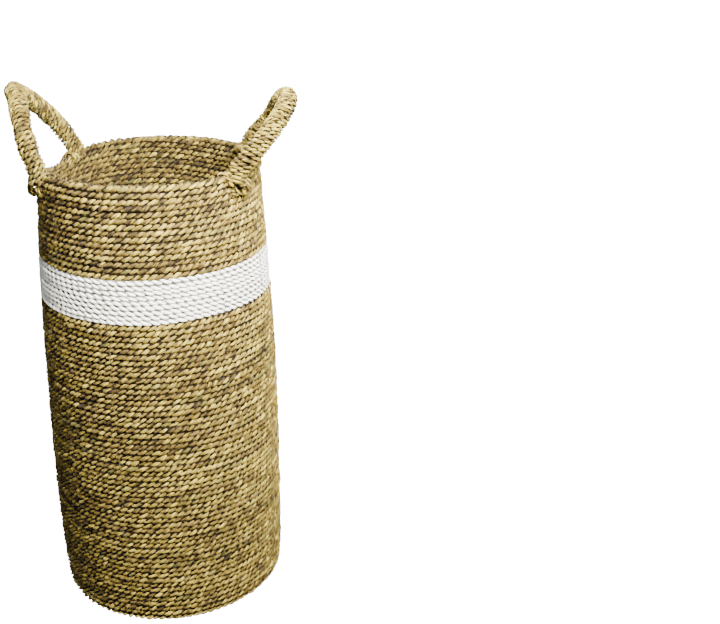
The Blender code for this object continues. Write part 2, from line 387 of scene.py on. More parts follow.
class Skein:
    """Strands of one piece, kept as rings of points until they are written as one mesh."""

    def __init__(self):
        self.strands = []

    def add(self, rings, along, place, look):
        """rings, place and look are (rings, sides, 3); along is the length at each ring."""
        self.strands.append((rings, along, place, look))

    def shift(self, change):
        moved = []
        for rings, along, place, look in self.strands:
            moved.append((change(rings.reshape(-1, 3)).reshape(rings.shape), along, place, look))
        self.strands = moved

    def lane_width(self):
        girths = [np.linalg.norm(rings[len(rings) // 2] - np.roll(rings[len(rings) // 2], 1, 0),
                                 axis=1).sum() for rings, *_ in self.strands]
        total = sum(along[-1] for _, along, *_ in self.strands)
        return math.sqrt(total * max(girths))

    def write(self, name):
        """One closed tube for each strand, with its bake map in lanes of equal width."""
        width = self.lane_width()
        lanes = [int(along[-1] / width) + 1 for _, along, *_ in self.strands]
        points, quads, caps, maps, cap_maps = [], [], [], [], []
        first = 0
        lane = 0
        for (rings, along, _, _), used in zip(self.strands, lanes):
            steps, sides = rings.shape[:2]
            points.append(rings.reshape(-1, 3))
            ring = np.arange(steps - 1)[:, None]
            side = np.arange(sides)[None, :]
            after = (side + 1) % sides
            corners = [ring * sides + side, (ring + 1) * sides + side,
                       (ring + 1) * sides + after, ring * sides + after]
            quads.append(first + np.stack([np.broadcast_to(c, (steps - 1, sides))
                                           for c in corners], axis=-1).reshape(-1, 4))
            row = (along[:-1] / width).astype(int)[:, None]
            left = np.broadcast_to(along[:-1, None] / width - row, (steps - 1, sides)) * 0.985
            right = np.broadcast_to(along[1:, None] / width - row, (steps - 1, sides)) * 0.985
            low = (lane + row + 0.06 + 0.88 * side / sides) / sum(lanes)
            high = (lane + row + 0.06 + 0.88 * (side + 1) / sides) / sum(lanes)
            corner_maps = [np.stack(pair, -1) for pair in ((left, low), (right, low),
                                                           (right, high), (left, high))]
            maps.append(np.stack(corner_maps, axis=2).reshape(-1, 2))
            caps += [first + np.arange(sides), first + (steps - 1) * sides
                     + np.arange(sides)[::-1]]
            cap_maps += [np.tile([0.0, (lane + 0.03) / sum(lanes)], (sides, 1))] * 2
            first += steps * sides
            lane += used
        mesh = bpy.data.meshes.new(name)
        points = np.concatenate(points)
        quads = np.concatenate(quads)
        mesh.vertices.add(len(points))
        mesh.vertices.foreach_set("co", points.astype(np.float32).ravel())
        corners = np.concatenate([quads.ravel()] + caps)
        sizes = np.concatenate([np.full(len(quads), 4), [len(cap) for cap in caps]])
        mesh.loops.add(len(corners))
        mesh.loops.foreach_set("vertex_index", corners.astype(np.int32))
        mesh.polygons.add(len(sizes))
        starts = np.concatenate([[0], np.cumsum(sizes)[:-1]])
        mesh.polygons.foreach_set("loop_start", starts.astype(np.int32))
        mesh.update(calc_edges=True)
        mesh.shade_smooth()
        self.write_layers(mesh, np.concatenate(maps + cap_maps))
        return mesh

    def write_layers(self, mesh, bake_map):
        layer = mesh.uv_layers.new(name="OFBake")
        layer.uv.foreach_set("vector", np.clip(bake_map, 0, 1).astype(np.float32).ravel())
        for name, part in (("strand_place", 2), ("strand_look", 3)):
            values = np.concatenate([strand[part].reshape(-1, 3) for strand in self.strands])
            attribute = mesh.attributes.new(name, "FLOAT_VECTOR", "POINT")
            attribute.data.foreach_set("vector", values.astype(np.float32).ravel())


def end_taper(along, reach, least=0.3):
    """1 along most of a strand, falling to a blunt tip over the last reach at both ends."""
    near_end = np.minimum(along, along[-1] - along) / reach
    return least + (1 - least) * np.sqrt(np.clip(near_end, 0.0, 1.0))


FILLER_THICKNESS = 0.28     # share of the rope's
ROW_FILLER = (1.22, 1.22)


def lay_rope(skein, path, outward, laid, rng, half_out, half_up, sides=8, filler=ROW_FILLER,
             taper=0.004):
    """Two strands twisted round a path.

    laid holds lay, strand_depth, strand_width, unevenness and looseness, and may hold
    dull_inside, which darkens the strands where they face inwards.  half_out and half_up are
    half the rope's own thickness through the wall and across it, which its strands fill.  filler
    is how far the yarn at its heart reaches below and above, as shares of half_up, or False.
    """
    along = travelled(path)
    tangent = unit(np.gradient(path, axis=0))
    outward = unit(outward - tangent * (outward * tangent).sum(1, keepdims=True))
    upward = np.cross(outward, tangent)
    around = np.linspace(0.0, math.tau, sides, endpoint=False)
    tip = end_taper(along, taper)
    twist = math.tau * along / laid["lay"] + laid["looseness"] * drift(rng, along, 0.045)
    shade = 0.40 * drift(rng, along, 0.16)
    tinge = drift(rng, along, 0.11)
    for strand in (0, 1):
        stray = 0.30 * drift(rng, along, 0.012) + 0.14 * drift(rng, along, 0.005)
        phase = twist + math.pi * strand + laid["looseness"] * stray
        uneven = 0.8 * drift(rng, along, 0.014) + 0.6 * drift(rng, along, 0.005)
        swell = (1 + laid["unevenness"] * uneven) * tip
        blade = 2 * around + (math.tau * along / 0.023 + 3 * drift(rng, along, 0.02))[:, None]
        ridges = 1 + 0.55 * laid["unevenness"] * np.sin(blade)
        depth = laid["strand_depth"] * swell[:, None] * ridges
        width = laid["strand_width"] * swell[:, None] * ridges
        across = np.cos(phase)[:, None] * outward + np.sin(phase)[:, None] * upward
        beside = np.cos(phase)[:, None] * upward - np.sin(phase)[:, None] * outward
        middle = ((half_out - laid["strand_depth"]) * np.cos(phase)[:, None] * outward
                  + (half_up - laid["strand_depth"]) * np.sin(phase)[:, None] * upward)
        section = (across[:, None, :] * (depth * np.cos(around))[:, :, None]
                   + beside[:, None, :] * (width * np.sin(around))[:, :, None])
        reach = middle[:, None, :] + section
        rings = path[:, None, :] + reach
        start = 40.0 * rng.random()
        place = over_rings(rings, along[:, None] + start, np.cos(around) * laid["strand_depth"],
                           np.sin(around) * laid["strand_width"])
        # exposed is low where a strand turns into the gap between two rows: the finishes paint
        # shade there, in the gap colour
        facing = (reach * outward[:, None, :]).sum(-1) / half_out
        exposed = np.abs(facing)
        light = shade + 0.55 * drift(rng, along, 0.028) + 0.85 * drift(rng, along, 0.0085)
        hue = 0.5 * tinge + 0.9 * drift(rng, along, 0.035)
        # Painted shade of the basket's inside: the strands darken by painted_inner_shade where
        # they face inwards, on top of their random tone
        tone_and_inner_shade = light[:, None] - laid.get("painted_inner_shade", 0.0) * np.clip(-facing, 0.0, 1.0)
        skein.add(rings, along, place, over_rings(rings, exposed, tone_and_inner_shade, hue[:, None]))
    if filler:
        below, above = filler
        heart = path + upward * (half_up * (above - below) / 2)
        lay_filler(skein, heart, outward, upward, half_out * FILLER_THICKNESS,
                   half_up * (above + below) / 2)


def lay_filler(skein, path, outward, upward, half_out, half_up, every=4, sides=6):
    """The straight yarn at the heart of a rope, which closes the gaps between its rows."""
    picked = np.arange(0, len(path), every)
    picked[-1] = len(path) - 1
    around = np.linspace(0.0, math.tau, sides, endpoint=False)
    middle = path[picked]
    rings = (middle[:, None, :]
             + outward[picked][:, None, :] * (half_out * np.cos(around))[None, :, None]
             + upward[picked][:, None, :] * (half_up * np.sin(around))[None, :, None])
    along = travelled(middle)
    # Painted shade: this look gives the filler the gap colour, the shade deep between the rows
    gap_shade_exposure = 0.16
    skein.add(rings, along, over_rings(rings, along[:, None], 0.0, 0.0),
              over_rings(rings, gap_shade_exposure, 0.0, 0.0))


def lay_line(skein, path, radius, rng, sides=6, taper=0.002, flat=1.0):
    """One plain round strand along a path, for thread and loose blades."""
    along = travelled(path)
    tangent = unit(np.gradient(path, axis=0))
    across = unit(np.cross(tangent, np.array([0.31, 0.17, 0.93])))
    beside = np.cross(across, tangent)
    around = np.linspace(0.0, math.tau, sides, endpoint=False)
    size = radius * end_taper(along, taper, 0.25)[:, None]
    rings = (path[:, None, :] + across[:, None, :] * (size * np.cos(around))[:, :, None]
             + beside[:, None, :] * (flat * size * np.sin(around))[:, :, None])
    place = over_rings(rings, along[:, None], radius * np.cos(around), radius * np.sin(around))
    light = 0.6 * rng.standard_normal()
    hue = rng.standard_normal()
    skein.add(rings, along, place, over_rings(rings, 1.0, light, hue))


# ---------------------------------------------------------------- finishes

class Finish:
    """A node material built step by step, with short names for the nodes that it needs."""

    def __init__(self, name, roughness, sheen):
        self.material = bpy.data.materials.new(name)
        self.material.use_nodes = True
        self.tree = self.material.node_tree
        self.shader = self.tree.nodes["Principled BSDF"]
        self.shader.inputs["Roughness"].default_value = roughness
        self.shader.inputs["Specular IOR Level"].default_value = 0.14
        self.shader.inputs["Sheen Weight"].default_value = sheen
        self.shader.inputs["Sheen Roughness"].default_value = 0.45

    def node(self, kind, **settings):
        made = self.tree.nodes.new(kind)
        for key, value in settings.items():
            setattr(made, key, value)
        return made

    def link(self, source, target):
        self.tree.links.new(source, target)

    def attribute(self, name):
        return self.node("ShaderNodeAttribute", attribute_name=name).outputs["Vector"]

    def split(self, vector):
        made = self.node("ShaderNodeSeparateXYZ")
        self.link(vector, made.inputs[0])
        return made.outputs

    def math(self, operation, first, second=0.0, third=0.0, clamp=False):
        made = self.node("ShaderNodeMath", operation=operation, use_clamp=clamp)
        for socket, value in zip(made.inputs, (first, second, third)):
            if isinstance(value, (int, float)):
                socket.default_value = value
            else:
                self.link(value, socket)
        return made.outputs[0]

    def stretch(self, vector, scale):
        made = self.node("ShaderNodeVectorMath", operation="MULTIPLY")
        self.link(vector, made.inputs[0])
        made.inputs[1].default_value = scale
        return made.outputs[0]

    def noise(self, vector, detail=2.0, roughness=0.55):
        made = self.node("ShaderNodeTexNoise")
        self.link(vector, made.inputs["Vector"])
        made.inputs["Scale"].default_value = 1.0
        made.inputs["Detail"].default_value = detail
        made.inputs["Roughness"].default_value = roughness
        return made.outputs["Fac"]

    def ramp(self, value, stops):
        made = self.node("ShaderNodeValToRGB")
        made.color_ramp.interpolation = "LINEAR"
        points = made.color_ramp.elements
        while len(points) < len(stops):
            points.new(0.5)
        for point, (position, shade) in zip(points, stops):
            point.position = position
            point.color = (*shade, 1.0)
        self.link(value, made.inputs[0])
        return made.outputs["Color"]

    def mix(self, factor, first, second):
        made = self.node("ShaderNodeMix", data_type="RGBA")
        self.link(factor, made.inputs[0])
        for socket, value in ((made.inputs[6], first), (made.inputs[7], second)):
            if isinstance(value, bpy.types.NodeSocket):
                self.link(value, socket)
            else:
                socket.default_value = (*value, 1.0)
        return made.outputs[2]

    def range(self, value, low, high, out_low=0.0, out_high=1.0):
        made = self.node("ShaderNodeMapRange", interpolation_type="SMOOTHSTEP")
        self.link(value, made.inputs[0])
        for at, number in enumerate((low, high, out_low, out_high), start=1):
            made.inputs[at].default_value = number
        return made.outputs[0]

    def bump(self, height, strength, distance):
        made = self.node("ShaderNodeBump")
        made.inputs["Strength"].default_value = strength
        made.inputs["Distance"].default_value = distance
        self.link(height, made.inputs["Height"])
        self.link(made.outputs[0], self.shader.inputs["Normal"])


def seagrass(name, colours, lightness):
    """Dried seagrass: streaky blades along each strand, mixed shades, dark between the rows."""
    finish = Finish(name, 0.62, 0.05)
    place = finish.attribute("strand_place")
    exposed, light, hue = finish.split(finish.attribute("strand_look"))[:3]
    fibres = finish.noise(finish.stretch(place, (70.0, 1500.0, 1500.0)), 3.0)
    blades = finish.noise(finish.stretch(place, (34.0, 480.0, 480.0)), 1.0)
    split = finish.math("ABSOLUTE", finish.math("SUBTRACT", blades, 0.5))
    crease = finish.range(split, 0.0, 0.045, 1.0, 0.0)
    # light carries the strands' random tone and the painted shade of the basket's inner face
    shade = finish.math("MULTIPLY_ADD", light, 0.18, lightness)
    shade = finish.math("ADD", shade, finish.math("MULTIPLY_ADD", fibres, 0.60, -0.30))
    shade = finish.math("ADD", shade, finish.math("MULTIPLY_ADD", blades, 1.3, -0.65))
    # Painted shade: thin dark lines in the splits between blades, where the relief below dips
    shade = finish.math("MULTIPLY_ADD", crease, -0.30, shade)
    straw = finish.ramp(shade, [(0.04, tuple(colours.blade_dark)),
                                (0.30, tuple(colours.blade_brown)),
                                (0.58, tuple(colours.blade_straw)),
                                (0.92, tuple(colours.blade_pale))])
    green = finish.range(hue, 0.5, 2.2, 0.0, 0.50)
    rose = finish.range(finish.math("MULTIPLY", hue, -1.0), 0.7, 2.4, 0.0, 0.50)
    tinged = finish.mix(green, straw, tuple(colours.blade_green))
    tinged = finish.mix(rose, tinged, tuple(colours.blade_rose))
    # Painted shade: strands take the gap colour where they dip between the rows
    open_air = finish.range(exposed, 0.14, 0.52)
    finish.link(finish.mix(open_air, tuple(colours.gap), tinged),
                finish.shader.inputs["Base Color"])
    rough = finish.math("MULTIPLY_ADD", fibres, 0.30, 0.74)
    finish.link(finish.math("MULTIPLY_ADD", open_air, -0.30, rough, clamp=True),
                finish.shader.inputs["Roughness"])
    relief = finish.math("MULTIPLY_ADD", crease, -0.5, finish.math("ADD", fibres, blades))
    finish.bump(relief, 0.8, 0.0008)
    return finish.material


def white_cord(name, colours):
    """Smooth bleached cord, a little grey where its turns meet."""
    finish = Finish(name, 0.55, 0.20)
    place = finish.attribute("strand_place")
    exposed, light, _ = finish.split(finish.attribute("strand_look"))[:3]
    fibres = finish.noise(finish.stretch(place, (120.0, 2600.0, 2600.0)), 2.0)
    shade = finish.math("MULTIPLY_ADD", light, 0.05, 0.62)
    shade = finish.math("ADD", shade, finish.math("MULTIPLY_ADD", fibres, 0.24, -0.12))
    clean = tuple(colours.cord)
    tone_and_inner_shade = tuple(part * tone for part, tone in zip(clean, (0.86, 0.855, 0.83)))
    white = finish.ramp(shade, [(0.30, tone_and_inner_shade), (0.70, clean)])
    # Painted shade: the cord takes the cord_gap_shade colour where it dips between the rows
    open_air = finish.range(exposed, 0.06, 0.48)
    finish.link(finish.mix(open_air, tuple(colours.cord_gap_shade), white),
                finish.shader.inputs["Base Color"])
    finish.link(finish.math("MULTIPLY_ADD", fibres, 0.2, 0.42),
                finish.shader.inputs["Roughness"])
    finish.bump(fibres, 0.30, 0.0003)
    return finish.material


def sewing_thread(name, colours):
    """Thin twisted thread."""
    finish = Finish(name, 0.5, 0.1)
    place = finish.attribute("strand_place")
    along, across, _ = finish.split(place)[:3]
    wave = finish.math("SINE", finish.math("MULTIPLY_ADD", along, 3500.0,
                                           finish.math("MULTIPLY", across, 2400.0)))
    ply = finish.math("MULTIPLY_ADD", wave, 0.5, 0.5)
    fuzz = finish.noise(finish.stretch(place, (300.0, 900.0, 900.0)), 2.0)
    shade = finish.math("MULTIPLY_ADD", ply, 0.4, finish.math("MULTIPLY", fuzz, 0.6))
    base = tuple(colours.thread)
    dull = tuple(part * 0.62 for part in base)
    finish.link(finish.ramp(shade, [(0.15, dull), (0.75, base)]),
                finish.shader.inputs["Base Color"])
    finish.link(finish.math("MULTIPLY_ADD", fuzz, 0.25, 0.4),
                finish.shader.inputs["Roughness"])
    finish.bump(ply, 0.4, 0.0001)
    return finish.material


SEAGRASS_LIGHTNESS = {"seagrass_wall": 0.54, "seagrass_base": 0.52, "seagrass_core": 0.46,
                      "seagrass_handle": 0.62}


def finish_for(slot, context):
    """The finish of a material slot, made the first time that it is asked for."""
    name = f"{slot}_finish"
    made = bpy.data.materials.get(name)
    if made:
        return made
    colours = context.scene.basket_colours
    if slot in SEAGRASS_LIGHTNESS:
        return seagrass(name, colours, SEAGRASS_LIGHTNESS[slot])
    return {"white_cord": white_cord, "sewing_thread": sewing_thread}[slot](name, colours)


def add_piece(context, name, skein, slot, body, *nodes):
    """Writes a skein as a piece that stands for the nodes and moves with a body.

    A handle's rope bends at its hinge, from the feet that are sewn down to the loop.
    """
    mesh = skein.write(name)
    mesh.materials.append(finish_for(slot, context))
    piece = bpy.data.objects.new(name, mesh)
    context.scene.collection.objects.link(piece)
    if body == BASKET:
        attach(piece, body)
    else:
        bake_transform(piece)
    if nodes:
        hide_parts(*nodes)


# ---------------------------------------------------------------- rows

def rope_kind(sizes, handed=1.0):
    # painted_inner_shade is painted shade on the basket's inner face
    return {"lay": handed * sizes.lay, "strand_depth": sizes.strand_depth,
            "strand_width": sizes.strand_width, "unevenness": sizes.unevenness,
            "looseness": sizes.looseness, "painted_inner_shade": 0.8}


def coil_rows(context, start, end, rows, first, last, sizes, seed, handed=1.0, flat_turns=0,
              filler=ROW_FILLER):
    """A skein of the rows first to last of a stretch of the profile that holds rows rows."""
    coil = context.scene.basket_coil
    pitch = (end - start) / rows
    rng = np.random.default_rng(seed)
    place, azimuth = coil_line(start, pitch, first, last, coil, sizes.step, flat_turns)
    rough = travelled(place_on_wall(place, azimuth)[0])
    place = place + coil.wander_up * drift(rng, rough, 0.050)
    path, side = place_on_wall(place, azimuth, coil.wander_out * drift(rng, rough, 0.060))
    skein = Skein()
    lay_rope(skein, path, side, rope_kind(sizes, handed), rng, WALL / 2, pitch / 2 + 0.00012,
             filler=filler)
    skein.shift(lambda points: settle(points, coil))
    return skein


def coil_stretch(context, name, node, slot, start, end, rows, seed, rows_per_piece=None,
                 sizes="basket_seagrass", **options):
    """Coils a stretch of the profile as one piece, or as numbered ones of a few rows each."""
    step = rows_per_piece or rows
    for part, first in enumerate(range(0, rows, step), start=1):
        skein = coil_rows(context, start, end, rows, first, min(first + step, rows),
                          getattr(context.scene, sizes), seed + part, **options)
        number = f"_{part}" if rows_per_piece else ""
        add_piece(context, name + number, skein, slot, BASKET, node)
    return {"FINISHED"}


class BASKET_OT_base(bpy.types.Operator):
    """Coils the flat base from its middle outwards"""
    bl_idname = "basket.base"
    bl_label = "Coil the Base"

    def execute(self, context):
        return coil_stretch(context, "base_rope", "base_coil", "seagrass_base",
                            0.0, PROFILE.corner_start, context.scene.basket_coil.base_rows, 10,
                            flat_turns=3, filler=(1.7, 1.7))


class BASKET_OT_corner(bpy.types.Operator):
    """Coils the rounded rows between the base and the wall"""
    bl_idname = "basket.corner"
    bl_label = "Coil the Corner"

    def execute(self, context):
        return coil_stretch(context, "corner_rope", "corner_rows", "seagrass_wall",
                            PROFILE.corner_start, PROFILE.distance_at(CORNER_TOP),
                            context.scene.basket_coil.corner_rows, 11)


class BASKET_OT_lower_wall(bpy.types.Operator):
    """Coils the wall up to the white band, in pieces of a few rows each"""
    bl_idname = "basket.lower_wall"
    bl_label = "Coil the Lower Wall"

    def execute(self, context):
        coil = context.scene.basket_coil
        return coil_stretch(context, "lower_wall_rope", "lower_wall", "seagrass_wall",
                            PROFILE.distance_at(CORNER_TOP), PROFILE.distance_at(BAND_BOTTOM),
                            coil.lower_rows, 20, coil.rows_per_piece)


class BASKET_OT_band(bpy.types.Operator):
    """Coils the band of smooth white cord, which is twisted the other way"""
    bl_idname = "basket.band"
    bl_label = "Coil the White Band"

    def execute(self, context):
        return coil_stretch(context, "white_band_cord", "white_band", "white_cord",
                            PROFILE.distance_at(BAND_BOTTOM), PROFILE.distance_at(BAND_TOP),
                            context.scene.basket_coil.band_rows, 30, sizes="basket_cord",
                            handed=-1.0)


class BASKET_OT_upper_wall(bpy.types.Operator):
    """Coils the seagrass rows between the white band and the rim, in two pieces"""
    bl_idname = "basket.upper_wall"
    bl_label = "Coil the Upper Wall"

    def execute(self, context):
        rows = context.scene.basket_coil.upper_rows
        return coil_stretch(context, "upper_wall_rope", "upper_wall", "seagrass_wall",
                            PROFILE.distance_at(BAND_TOP), PROFILE.distance_at(RIM_BOTTOM),
                            rows, 40, (rows + 1) // 2)


class BASKET_OT_rim(bpy.types.Operator):
    """Lays the last row, a slightly thicker rope whose ends overlap at the seam"""
    bl_idname = "basket.rim"
    bl_label = "Lay the Rim"

    def execute(self, context):
        coil = context.scene.basket_coil
        rng = np.random.default_rng(50)
        overlap = 0.10      # radians
        azimuth = np.linspace(0.0, math.tau + overlap, 900) + coil.seam
        middle = PROFILE.distance_at((RIM_BOTTOM + RIM_TOP) / 2)
        ending = np.clip((azimuth - coil.seam - math.tau) / overlap, 0.0, 1.0)
        place = middle - 0.004 * ending
        rough = azimuth * wall_radius(RIM_TOP)
        rough = rough - rough[0]
        place = place + coil.wander_up * drift(rng, rough, 0.05)
        path, side = place_on_wall(place, azimuth, coil.wander_out * drift(rng, rough, 0.06)
                                   - 0.002 * ending)
        kind = dict(rope_kind(context.scene.basket_seagrass),
                    strand_depth=0.0023, strand_width=0.0028)
        skein = Skein()
        lay_rope(skein, path, side, kind, rng, WALL / 2, (RIM_TOP - RIM_BOTTOM) / 2, sides=10,
                 filler=(1.5, 0.6), taper=0.03)
        skein.shift(lambda points: settle(points, coil))
        add_piece(context, "rim_rope", skein, "seagrass_wall", BASKET, "rim_row")
        return {"FINISHED"}


# ---------------------------------------------------------------- sewing and loose blades

def thread_angles(handle, thread):
    """Where the lines of stitches stand, and which side of the basket each belongs to."""
    foot = math.atan2(handle.half_width, abs(HINGES["handle_left"].x))
    under = 2 * foot
    side = math.pi - under
    stretches = (("under_right_handle", -foot, under, thread.under_handle),
                 ("rear", foot, side, thread.on_side),
                 ("under_left_handle", math.pi - foot, under, thread.under_handle),
                 ("front", math.pi + foot, side, thread.on_side))
    return [(place, [start + span * (line + 0.5) / lines for line in range(lines)])
            for place, start, span, lines in stretches]


def row_joints(coil):
    """Where neighbouring rows meet, as distances along the profile."""
    stops = (0.0, PROFILE.corner_start, PROFILE.distance_at(CORNER_TOP),
             PROFILE.distance_at(BAND_BOTTOM), PROFILE.distance_at(BAND_TOP),
             PROFILE.distance_at(RIM_BOTTOM))
    rows = (coil.base_rows, coil.corner_rows, coil.lower_rows, coil.band_rows, coil.upper_rows)
    joints = [np.linspace(low, high, number, endpoint=False)
              for low, high, number in zip(stops, stops[1:], rows)]
    return np.concatenate(joints + [[stops[-1]]])


def inner_seam(skein, azimuth, joints, thread, rng):
    """A line of thread over the inner face of every row, which dips where the rows meet."""
    joints = joints[joints > thread.start]
    path = []
    for low, high in zip(joints, joints[1:]):
        part = np.linspace(0.0, 1.0, 6, endpoint=False)
        path.append(np.stack([low + (high - low) * part,
                              0.0030 + 0.0018 * np.sin(part * math.pi) ** 0.7], axis=1))
    path = np.concatenate(path)
    stray = 0.0009 * drift(rng, path[:, 0] - path[0, 0], 0.007) / 0.14
    points, _ = place_on_wall(path[:, 0], azimuth + stray, -path[:, 1])
    lay_line(skein, points, thread.radius, rng)


def outer_stitches(skein, azimuth, joints, thread, rng):
    """Short slanting stitches on the outer face, one over each joint between two rows."""
    for joint in joints[joints > thread.start]:
        part = np.linspace(-0.5, 0.5, 6)
        slant = 0.0024 + 0.0008 * rng.standard_normal()
        shift = 0.0012 * rng.standard_normal()
        radius = max(float(PROFILE.look_up(joint)[0]), 0.02)
        points, _ = place_on_wall(joint + thread.stitch * part,
                                  azimuth + (shift + slant * part) / radius,
                                  0.0040 - 0.0052 * np.abs(part) ** 2 * 2)
        lay_line(skein, points, thread.radius * 0.9, rng, sides=5)


class BASKET_OT_sewing(bpy.types.Operator):
    """Sews the rows together, in lines that climb the basket between the lashings"""
    bl_idname = "basket.sewing"
    bl_label = "Sew the Rows"

    def execute(self, context):
        scene = context.scene
        thread = scene.basket_thread
        joints = row_joints(scene.basket_coil)
        rng = np.random.default_rng(60)
        line = 0
        for place, angles in thread_angles(scene.basket_handle, thread):
            skein = Skein()
            nodes = []
            for azimuth in angles:
                line += 1
                nodes.append(f"thread_line_{line:02d}")
                inner_seam(skein, azimuth, joints, thread, rng)
                outer_stitches(skein, azimuth, joints, thread, rng)
            skein.shift(lambda points: settle(points, scene.basket_coil))
            add_piece(context, f"stitches_{place}", skein, "sewing_thread", BASKET, *nodes)
        return {"FINISHED"}


class BASKET_OT_loose_blades(bpy.types.Operator):
    """Adds the short ends of blades that stand out of the rows"""
    bl_idname = "basket.loose_blades"
    bl_label = "Add Loose Blades"

    def execute(self, context):
        coil = context.scene.basket_coil
        rng = np.random.default_rng(70)
        skein = Skein()
        low = PROFILE.distance_at(CORNER_TOP)
        high = PROFILE.distance_at(RIM_TOP - 0.006)
        gap = (PROFILE.distance_at(BAND_BOTTOM - 0.003), PROFILE.distance_at(BAND_TOP + 0.003))
        for _ in range(260):
            distance = rng.uniform(low, high)
            if gap[0] < distance < gap[1]:
                continue
            azimuth = rng.uniform(0.0, math.tau)
            side = 1.0 if rng.random() < 0.72 else -1.0
            part = np.linspace(0.0, 1.0, 9)
            reach = rng.uniform(0.008, 0.022)
            lift = rng.uniform(0.0006, 0.0026)
            climb = rng.uniform(-0.006, 0.006)
            points, _ = place_on_wall(
                distance + climb * part ** 1.6,
                azimuth + reach * part / wall_radius(0.3),
                side * (0.0034 + lift * np.sin(part * math.pi * 0.8)))
            lay_line(skein, points, rng.uniform(0.0003, 0.0006), rng, sides=5, taper=0.005,
                     flat=0.45)
        skein.shift(lambda points: settle(points, coil))
        add_piece(context, "loose_blades", skein, "seagrass_wall", BASKET)
        return {"FINISHED"}


# ---------------------------------------------------------------- handles

HANDLES = (("left", -1.0), ("right", 1.0))

# How far each loop strays from a plain arch, in metres along X, Y and Z
LEFT_REAR_SHIFT = np.array([0.009, -0.004, -0.0085])
LEFT_KNEE = np.array([0.0075, 0.0, 0.0])
RIGHT_FEET_SHIFT = np.array([0.0045, 0.0, 0.0])
RIGHT_KNEE = np.array([0.0060, 0.0, 0.0])
RIGHT_REAR_WAVE = np.array([0.0035, 0.0, 0.0])


def loop_line(handle, side, steps=600):
    """The middle of a handle from its front foot to its rear foot, and the loop's own axes."""
    direction = dict(HANDLES)[side]
    lean = handle.left_lean if side == "left" else handle.right_lean
    turned = np.linspace(0.0, math.pi, steps)
    across = np.cos(turned)
    rounding = handle.rounding ** 2
    pinch = ((across ** 2 + rounding) / (1 + rounding)) ** handle.straightness
    y = -handle.half_width * across * pinch
    rise = handle.height * np.sin(turned)
    up = np.array([direction * math.sin(lean), 0.0, math.cos(lean)])
    hinge = np.array(HINGES[f"handle_{side}"])
    points = hinge + rise[:, None] * up + y[:, None] * np.array([0.0, 1.0, 0.0])
    face = np.array([direction * math.cos(lean), 0.0, -math.sin(lean)])
    to_rear = points[:, 1:2] / (2 * handle.half_width) + 0.5
    to_foot = 1 - np.sin(turned)[:, None]
    knee = np.clip(np.sin(2 * turned), 0.0, 1.0)[:, None]
    if side == "left":
        points = points + to_rear ** 1.2 * LEFT_REAR_SHIFT
        points = points + knee * LEFT_KNEE
    else:
        points = points + to_foot ** 1.5 * RIGHT_FEET_SHIFT
        points = points + knee * RIGHT_KNEE
        wave = np.where(across < 0, np.sin(4 * turned), 0.0)[:, None]
        points = points - wave * RIGHT_REAR_WAVE
    front = tail_line(points[0], points[0] - points[12], handle.tail)
    rear = tail_line(points[-1], points[-1] - points[-13], handle.tail)
    return np.concatenate([front[::-1], points, rear]), face


def tail_line(foot, heading, reach, steps=40):
    """The end of a leg, which bends from its heading to run down the wall's outer face."""
    part = np.linspace(0.0, 1.0, steps + 1)[1:, None]
    radial = unit(np.array([foot[0], foot[1], 0.0]))
    down = np.array([0.0, 0.0, -1.0])
    bend = unit(unit(heading) * (1 - part) ** 2 + (down + 0.10 * radial) * (1 - (1 - part) ** 2))
    return foot + np.cumsum(bend, axis=0) * reach / steps


def even_line(points, skip, step):
    """The same line at even steps, without a length at either end."""
    at = travelled(points)
    wanted = np.arange(skip, at[-1] - skip, step)
    return np.stack([np.interp(wanted, at, points[:, axis]) for axis in range(3)], axis=1)


class BASKET_OT_handle_cores(bpy.types.Operator):
    """Lays the thick rope at the heart of each handle"""
    bl_idname = "basket.handle_cores"
    bl_label = "Lay the Handle Cores"

    def execute(self, context):
        handle = context.scene.basket_handle
        kind = {"lay": 0.034, "strand_depth": handle.core_radius * 0.5,
                "strand_width": handle.core_radius * 0.62, "unevenness": 0.05,
                "looseness": 0.3}
        for number, (side, _) in enumerate(HANDLES):
            points, face = loop_line(handle, side)
            path = even_line(points, 0.0, 0.0020)
            skein = Skein()
            lay_rope(skein, path, np.broadcast_to(face, path.shape), kind,
                     np.random.default_rng(80 + number), handle.core_radius,
                     handle.core_radius, sides=12, filler=(0.7, 0.7), taper=0.006)
            add_piece(context, f"handle_{side}_core_rope", skein, "seagrass_core",
                      f"handle_{side}", f"handle_{side}_core")
        return {"FINISHED"}


def winding_kind(handle):
    return {"lay": handle.cord_lay, "strand_depth": handle.cord_radius * 0.52,
            "strand_width": handle.cord_radius * 0.66, "unevenness": 0.15, "looseness": 1.1}


